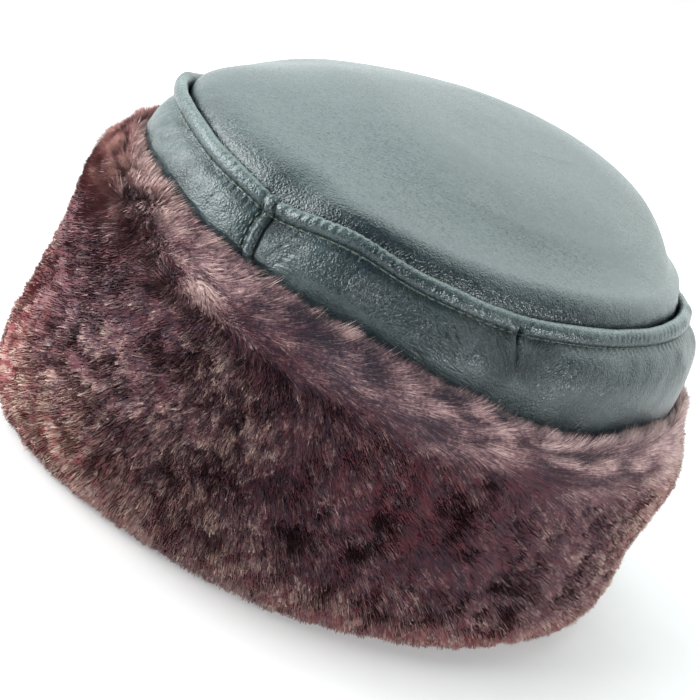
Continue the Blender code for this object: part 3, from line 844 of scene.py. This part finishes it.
def stitch_mesh(name, centres, directions, lifts):
    """Short rounded threads, half sunk in the leather, as one piece."""
    around = 6
    stations = np.array([-1.0, -0.8, -0.3, 0.3, 0.8, 1.0])
    width = np.array([0.15, 0.75, 1.0, 1.0, 0.75, 0.15])
    bow = np.array([-0.9, -0.25, 0.0, 0.0, -0.25, -0.9])
    sides = unit(np.cross(directions, lifts))
    turn = 2.0 * math.pi * np.arange(around) / around
    points = []
    for place, wide, drop in zip(stations, width, bow):
        middle = centres + directions * (place * STITCH_LENGTH / 2.0) + lifts * (drop * THREAD)
        ring = middle[:, None, :] + THREAD / 2.0 * wide * (
            np.cos(turn)[None, :, None] * sides[:, None, :] + np.sin(turn)[None, :, None] * lifts[:, None, :])
        points.append(ring)
    points = np.stack(points, axis=1)
    count, rows = len(centres), len(stations)
    base = ring_faces(rows, around)
    faces = (np.arange(count)[:, None, None] * rows * around + base[None]).reshape(-1, 4)
    ends = []
    for row, order in ((0, 1), (rows - 1, -1)):
        loop = row * around + np.arange(around)[::order]
        ends.append(np.arange(count)[:, None] * rows * around + loop[None])
    return make_mesh(name, points.reshape(-1, 3), [faces[:, ::-1], np.concatenate(ends)], thread)


def on_line(at, reach, values):
    """The points or directions of a line at given distances along it."""
    return np.stack([np.interp(at, reach, values[:, k]) for k in range(3)], axis=1)


def stitch_row(line, normals, at, step, closed=False):
    """The middle, way and outward direction of the stitches at given distances along a line."""
    reach = walked(line)
    ahead, behind = at + step, at - step
    if closed:
        ahead, behind = ahead % reach[-1], behind % reach[-1]
    directions = unit(on_line(ahead, reach, line) - on_line(behind, reach, line))
    return on_line(at, reach, line), directions, unit(on_line(at, reach, normals))


def make_stitches(outer, where, along):
    """Topstitching round the crown below the welt, and beside the join."""
    normals = grid_normals(outer)
    row = int(np.argmin(np.abs(where - STITCH_ROW)))
    loop = np.concatenate([outer[row], outer[row, :1]])
    total = walked(loop)[-1]
    at = np.arange(0.0, total - 0.1, total / round(total / STITCH_PITCH))
    centres, directions, lifts = stitch_row(
        loop, np.concatenate([normals[row], normals[row, :1]]), at, 0.8, closed=True)
    uneven = scrambled(5, np.arange(len(at)), np.arange(len(at)) + 3) - 0.5
    centres = centres + lifts * (STITCH_LIFT + STITCH_LIFT * uneven)[:, None]
    angle = np.degrees(np.arctan2(centres[:, 1], centres[:, 0])) % 360.0
    clear = np.abs(turned(angle - JOIN_ANGLE)) > 0.9

    column = int(round(JOIN_STITCH_ANGLE / 360.0 * BAND_COLUMNS))
    rows = [k for k in range(len(where)) if JOIN_STITCH_REACH[0] < along[k] < JOIN_STITCH_REACH[1]]
    line = outer[rows, column]
    at = np.arange(0.8, walked(line)[-1], 3.0)
    beside, ways, rises = stitch_row(line, normals[rows, column], at, 0.7)
    return stitch_mesh(
        "topstitching",
        np.concatenate([centres[clear], beside + rises * STITCH_LIFT]),
        np.concatenate([directions[clear], ways]),
        np.concatenate([lifts[clear], rises]))


# The fur cuff, from its lip beside the crown down its face to the foot
FurRow = namedtuple("FurRow", "share offset")
FUR_ROWS = rows_of(FurRow, (
    (0.980, -15.2), (0.990, -12.4), (0.945, -8.8), (0.865, -6.6), (0.765, -6.5),
    (0.650, -6.9), (0.530, -6.4), (0.405, -5.6), (0.285, -5.0), (0.175, -5.6),
    (0.085, -8.4), (0.024, -12.6), (0.0, FOOT_OUTER),
))
FUR_PROFILE = np.array([(row.share * CUFF_HEIGHT, row.offset) for row in FUR_ROWS])
FUR_REACH = np.concatenate([[0.0], np.cumsum(np.hypot(*np.diff(FUR_PROFILE, axis=0).T))])
FACE_END = FUR_REACH[-2]
ROOT_DEPTH = 2.5
PILE_LENGTH = 5.4
PILE_EXTRA = 1.6
PILE_BAND = FACE_END + 1.5
PILE_STRAY = 0.46
CURL_LENGTH = 0.85
UNEVEN_LENGTH = 1.1
SLENDER_WIDTH, SHEARED_WIDTH = 0.85, 0.44
SKIN_COLUMNS = 288
SKIN_DEPTH = 2.4


def mound_relief(angle, share):
    """How far the cuff's mounds and hollows stand out."""
    total = 0.0
    for row in FUR_MOUNDS:
        total = total + row.size * spot_fade(angle, share, row, row.share)
    return total


def fur_surface(angle, down):
    """Places on the cuff's face: angle round it, and down in millimetres from the lip beside the crown."""
    where = np.interp(down, FUR_REACH, np.arange(len(FUR_REACH)))
    row = interpolated(FUR_PROFILE, where.reshape(-1)).reshape(where.shape + (2,))
    share, offset = row[..., 0] / CUFF_HEIGHT, row[..., 1]
    fullness = rising(where - 1.0, 0.8)
    offset = offset + fullness * mound_relief(angle, share)
    return oval(angle, offset, cuff_height(angle) * share)


def fur_frame(angle, down):
    """A place on the face, its outward normal, and the directions round the face and down it."""
    place = fur_surface(angle, down)
    round_it = unit(fur_surface(angle + 0.4, down) - fur_surface(angle - 0.4, down))
    down_it = fur_surface(angle, down + 0.4) - fur_surface(angle, down - 0.4)
    normal = unit(np.cross(down_it, round_it))
    return place, normal, round_it, np.cross(round_it, normal)


def make_skin():
    """The pile's dense ground, from the lip round the foot and up the cuff's inner side."""
    angle = 360.0 * np.arange(SKIN_COLUMNS) / SKIN_COLUMNS
    down = np.concatenate([np.linspace(0.0, 15.0, 8)[:-1], np.linspace(15.0, FUR_REACH[-1], 26)])
    angles = np.broadcast_to(angle, (len(down), SKIN_COLUMNS))
    downs = np.broadcast_to(down[:, None], angles.shape)
    outer = fur_surface(angles, downs)
    sunk = SKIN_DEPTH * rising(downs, 6.0) * rising(FUR_REACH[-1] - downs, 8.0)
    outer = outer - grid_normals(outer) * sunk[..., None]
    outer[..., 2] = np.maximum(outer[..., 2], 0.0)
    inner = [
        oval(angle, FOOT_INNER, 0.0), oval(angle, HEM_INNER, 1.6), oval(angle, HEM_INNER, HEM_HEIGHT - GAP),
        oval(angle, CUFF_INNER, HEM_HEIGHT - GAP), oval(angle, CUFF_INNER, cuff_height(angle) * 0.90),
        oval(angle, CUFF_INNER + 1.6, cuff_height(angle) * 0.955),
    ]
    points = np.concatenate([outer, np.array(inner)])
    return make_mesh("fur_ground", points, [ring_faces(len(points), SKIN_COLUMNS, closed=True)], skin)


Tone = namedtuple("Tone", "angle share wide tall pale red")
# Dye over the cuff, with painted light and shade in some rows: 78 degrees low, 74 degrees on the shelf and
# 210 degrees paint the lit left side and the lit far right end paler, 175 degrees low paints the bottom
# paler, and 156 degrees paints shade on the face's middle
FUR_TONES_AND_PAINTED_LIGHT = rows_of(Tone, (
    (96, 0.34, 24, 0.26, 0.05, 0.0), (78, 0.70, 16, 0.24, -0.13, 0.0),
    (112, 0.62, 10, 0.14, 0.05, 0.0), (156, 0.55, 28, 0.36, -0.17, 0.0),
    (128, 0.88, 24, 0.12, -0.15, 0.0), (62, 0.34, 18, 0.45, 0.03, 0.42),
    (78, 0.08, 36, 0.20, 0.46, 0.65), (74, 0.97, 26, 0.14, 0.28, 0.40),
    (210, 0.55, 14, 0.60, 0.28, 0.35), (150, 0.60, 14, 0.26, -0.07, 0.15),
    (175, 0.06, 40, 0.14, 0.22, 0.50), (262, 0.40, 26, 0.30, 0.13, 0.1),
    (310, 0.55, 24, 0.30, -0.08, 0.2), (350, 0.35, 24, 0.30, 0.14, 0.2),
))


def pile_tone(angle, share):
    """How pale and how red the pile is at a place on the cuff: dye, with painted light and shade from some
    rows.
    """
    pale, red = 0.0, 0.20
    for row in FUR_TONES_AND_PAINTED_LIGHT:
        fade = spot_fade(angle, share, row, row.share)
        pale = pale + row.pale * fade
        red = red + row.red * fade
    return pale, red


def pile_lean(down, place):
    """The pile's lean, in shares of its length: round the cuff, and down it."""
    lip = smooth(1.0 - down / 9.0)
    shelf = smooth((24.0 - down) / 15.0)
    foot = smooth((down - 72.0) / 20.0)
    swirl = noise(place / 15.0, 81), noise(place / 15.0, 82)
    curl = noise(place / 4.2, 83), noise(place / 4.2, 84)
    wave = noise(place / 7.0, 85)
    around = 0.14 + 0.20 * swirl[0] + 0.24 * curl[0] + 0.74 * shelf * (1.0 - 0.5 * lip)
    downward = 0.08 + 0.20 * swirl[1] + 0.24 * curl[1] - 0.27 * shelf - 0.60 * lip
    downward = downward + 0.35 * shelf * wave + 0.35 * foot
    return around, downward, shelf


def clear_of_crown(points, angle, clear):
    """Moves places that lie inside the crown's side out of it, in plan."""
    shift = np.stack(crown_shift(points[:, 2], angle), axis=1)
    wall = BAND_OFFSET - 0.4 + swelling([LOW_TUCK], angle) + 0.7 * swelling(BAND_SWELLS, angle) + clear
    plan = points[:, :2] - shift
    share = np.hypot(plan[:, 0] / (HALF_WIDTH + wall), plan[:, 1] / (HALF_LENGTH + wall))
    push = np.maximum(1.0 / np.maximum(share, 1e-6), 1.0)
    points[:, :2] = shift + plan * push[:, None]


def make_fur(name, first, last, density, width, seed):
    """Strands of pile between two angles, each one slender triangle, so many to a square millimetre."""
    columns = int(math.radians(last - first) * RING_RADIUS * math.sqrt(density))
    rows = int(PILE_BAND * math.sqrt(density))
    i, j = (part.reshape(-1) for part in np.meshgrid(np.arange(columns), np.arange(rows), indexing="ij"))
    chance = [scrambled(seed + k, i, j) for k in range(6)]
    angle = first + (last - first) * (i + chance[0]) / columns
    down = np.clip(-0.5 + PILE_BAND * (j + chance[1]) / rows, 0.0, FACE_END + 1.0)
    place, normal, round_it, down_it = fur_frame(angle, down)
    around, downward, shelf = pile_lean(down, place)

    stray = (chance[2] - 0.5)[:, None] * round_it + (chance[3] - 0.5)[:, None] * down_it
    lean = round_it * around[:, None] + down_it * downward[:, None]
    heading = unit(normal * (1.0 - 0.30 * shelf)[:, None] + lean + PILE_STRAY * stray)
    root = place - normal * (ROOT_DEPTH * np.clip(down / 6.0, 0.25, 1.0))[:, None]
    spot = root + heading * (PILE_LENGTH + PILE_EXTRA * shelf)[:, None]

    # curls stand a little higher and the gaps between them are short; the tone below also paints the curls
    # paler and the gaps darker, as painted light and shade
    warp = np.stack([noise(spot / 6.0, which) for which in (61, 62, 63)], axis=-1)
    curl = noise(spot / 2.8 + 0.9 * warp, 64) + 0.6 * noise(spot / 1.3 + 0.9 * warp, 65)
    tip_angle = np.degrees(np.arctan2(spot[:, 1] / HALF_LENGTH, spot[:, 0] / HALF_WIDTH))
    across = down + 6.0 * downward
    lock = noise(ringed(tip_angle, across, 1.9) * (0.22, 0.22, 1.0) + (0.0, 0.0, 0.35) * warp, 66)
    height = (1.0 - shelf) * curl + shelf * 1.9 * lock
    patch = noise(place / 13.0, 67)
    length = PILE_LENGTH + PILE_EXTRA * shelf + CURL_LENGTH * height + UNEVEN_LENGTH * (chance[4] - 0.5)
    length = length * np.where(chance[5] > 0.965, 1.22, 1.0)
    tip = root + heading * length[:, None]
    root[:, 2] = np.maximum(root[:, 2], 0.25)
    tip[:, 2] = np.maximum(tip[:, 2], 0.3 + 1.4 * chance[2])
    clear_of_crown(tip, angle, 0.5)

    side = unit(np.cross(tip - root, normal))
    flat = np.cross(side, heading)
    twist = (chance[3] - 0.5) * 2.2
    side = side * np.cos(twist)[:, None] + flat * np.sin(twist)[:, None]

    # most strands of the face are sheared, so they are widest at the tip, and those over the lip are slender
    slender = (chance[5] > 0.55 - 0.9 * shelf)[:, None]
    half = (width * (0.75 + 0.5 * chance[4]))[:, None] * np.where(slender, SLENDER_WIDTH, SHEARED_WIDTH)
    base, point = np.where(slender, root, tip), np.where(slender, tip, root)
    left, right = base - side * half, base + side * half
    corners = np.stack([left, right, point], axis=1)
    facing = (np.cross(right - left, point - left) * normal).sum(axis=-1)
    order = np.where((facing < 0.0)[:, None], [1, 0, 2], [0, 1, 2])
    faces = np.arange(len(root))[:, None] * 3 + order
    piece = make_mesh(name, corners.reshape(-1, 3), [faces], fur)
    pale, red = pile_tone(angle, place[:, 2] / cuff_height(angle))
    # 0.20 * height is painted light and shade: taller curls paler, the gaps between them darker; patch and
    #                                           chance[4] are random tone, and pale is dye with some painted
    #                                           light and shade
    tone = 0.425 + 0.20 * height + 0.10 * patch + pale + 0.12 * (chance[4] - 0.5)
    # over_lip picks the lighter shelf colours: painted light on the top shelf
    over_lip = smooth((20.0 - down + 5.0 * patch) / 14.0)
    marks = {"spot": spot * MM, "tone": tone, "red": red, "strand": chance[5], "shelf": over_lip}
    for mark, values in marks.items():
        add_attribute(piece, mark, np.repeat(values, 3, axis=0))
    add_attribute(piece, "along", np.where(slender, [0.0, 0.0, 1.0], [1.0, 1.0, 0.0]).reshape(-1))
    soft = unit(normal * 0.75 + heading * 0.50 + 0.35 * stray)
    piece.data.normals_split_custom_set_from_vertices(np.repeat(soft, 3, axis=0).astype(np.float32))
    add_bake_map(piece, len(root))
    return piece


def add_bake_map(piece, count):
    """Gives each strand a small cell of the map that its colours can be baked through."""
    across = math.ceil(math.sqrt(count))
    tall = math.ceil(count / across)
    vertex = np.empty(len(piece.data.loops), dtype=np.int32)
    piece.data.loops.foreach_get("vertex_index", vertex)
    strand, corner = vertex // 3, vertex % 3
    x = strand % across + np.array([0.08, 0.92, 0.5])[corner]
    y = strand // across + np.array([0.08, 0.08, 0.92])[corner]
    layer = piece.data.uv_layers.new(name="OFBake")
    layer.uv.foreach_set("vector", np.stack([x / across, y / tall], axis=1).astype(np.float32).reshape(-1))


def make_camera():
    """The camera at the photograph's viewing angle."""
    place, aim = Vector(CAMERA_PLACE), Vector(CAMERA_AIM)
    back = (place - aim).normalized()
    right = UP.cross(back).normalized()
    up = back.cross(right)
    roll = math.radians(CAMERA_ROLL)
    across = right * math.cos(roll) + up * math.sin(roll)
    above = up * math.cos(roll) - right * math.sin(roll)
    data = bpy.data.cameras.new("camera")
    data.sensor_width = 36.0
    data.lens = CAMERA_LENS
    data.shift_x, data.shift_y = CAMERA_SHIFT
    data.clip_start = 0.01
    camera = placed("camera", data)
    turn = Matrix((across, above, back)).transposed().to_4x4()
    camera.matrix_world = Matrix.Translation(place) @ turn
    bpy.context.scene.camera = camera


def add_light(lamp):
    """A soft square light that looks at the hat."""
    data = bpy.data.lights.new(lamp.name, "AREA")
    data.shape = "RECTANGLE"
    data.size = lamp.size
    data.size_y = lamp.size
    data.energy = lamp.power
    light = placed(lamp.name, data)
    light.location = lamp.place
    light.rotation_euler = (LIGHT_AIM - lamp.place).to_track_quat("-Z", "Y").to_euler()


def make_world():
    """Plain white to the camera, and to the object a pale wall behind and beside it, dim elsewhere."""
    world = bpy.data.worlds.new("studio")
    world.use_nodes = True
    n = Nodes(world.node_tree)
    direction = n.add("ShaderNodeTexCoord").outputs["Generated"]
    height = n.add("ShaderNodeSeparateXYZ", {0: direction}).outputs["Z"]
    behind = n.eased(n.towards(direction, WALL_WAY), WALL_EDGE, WALL_GLOW)
    glow = n.times(behind, n.eased(height, WALL_HEIGHTS, WALL_RISE))
    wall = n.tree.nodes["Background"]
    wall.inputs["Color"].default_value = WALL_TINT
    n.tree.links.new(glow, wall.inputs["Strength"])
    seen = n.add("ShaderNodeBackground", {"Color": WHITE, "Strength": 1.0})
    camera = n.add("ShaderNodeLightPath").outputs["Is Camera Ray"]
    mixed = n.add("ShaderNodeMixShader", {0: camera, 1: wall.outputs[0], 2: seen.outputs[0]})
    n.tree.links.new(mixed.outputs[0], n.tree.nodes["World Output"].inputs["Surface"])
    bpy.context.scene.world = world


def make_floor():
    """A plain pale floor, which glows softly behind the hat."""
    n = Look("floor_paper")
    tooth = n.noise(n.where, 60.0, 3.0, 0.5)
    n.link(n.ramp(tooth, [(0.3, (0.67, 0.67, 0.67)), (0.7, (0.69, 0.69, 0.69))]), "Base Color")
    n.set({"Roughness": 0.9, "Specular IOR Level": 0.1, "Emission Color": WHITE})
    n.link(n.eased(n.towards(n.where, tuple(FAR)), FLOOR_STRETCH, FLOOR_GLOW), "Emission Strength")
    mesh = bpy.data.meshes.new("floor")
    corners = [(x * FLOOR_REACH, y * FLOOR_REACH, 0) for x, y in ((-1, -1), (1, -1), (1, 1), (-1, 1))]
    mesh.from_pydata(corners, [], [(0, 1, 2, 3)])
    mesh.materials.append(n.material)
    floor = placed("floor", mesh)
    floor.location.z = -FLOOR_DROP


leather = leather_material("crown_leather")
lining = matt_material(
    "inner_leather", (420.0, 4.0, 0.65), (0.030, 0.026, 0.028), (0.055, 0.047, 0.048), 0.9, (0.4, 0.0004))
thread = matt_material(
    "thread", (1500.0, 2.0, 0.6), (0.055, 0.075, 0.055), (0.13, 0.165, 0.12), 0.55, (0.4, 0.0002))
fur = fur_material("pile")
# The pile's dark plum ground: partly the dyed wool, partly painted shade deep in the pile
skin = matt_material(
    "pile_ground", (300.0, 3.0, 0.6), (0.026, 0.014, 0.020), (0.075, 0.040, 0.050), 0.95, (0.6, 0.0015))

make_camera()
for lamp in LIGHTS:
    add_light(lamp)
make_floor()
make_world()
bpy.context.scene.view_settings.view_transform = "Standard"

band, band_outer, band_where, band_along = make_band()
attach(band, "root")
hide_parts("crown_band")

top = make_top()
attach(top, "root")
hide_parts("crown_top")

stitches = make_stitches(band_outer, band_where, band_along)
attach(stitches, "root")

ground = make_skin()
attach(ground, "root")
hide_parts("fur_cuff")

FurPart = namedtuple("FurPart", "first last density width")
FIRST_SEED = 100
SEED_STEP = 10
FUR_PARTS = rows_of(FurPart, (
    (28, 91, 11.4, 0.21), (91, 154, 11.4, 0.21), (154, 217, 11.4, 0.21),
    (217, 302.5, 8.0, 0.26), (302.5, 388, 8.0, 0.26),
))
for number, part in enumerate(FUR_PARTS):
    piece = make_fur(f"pile_{number + 1}", *part, FIRST_SEED + SEED_STEP * number)
    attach(piece, "root")
    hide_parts("fur_cuff")
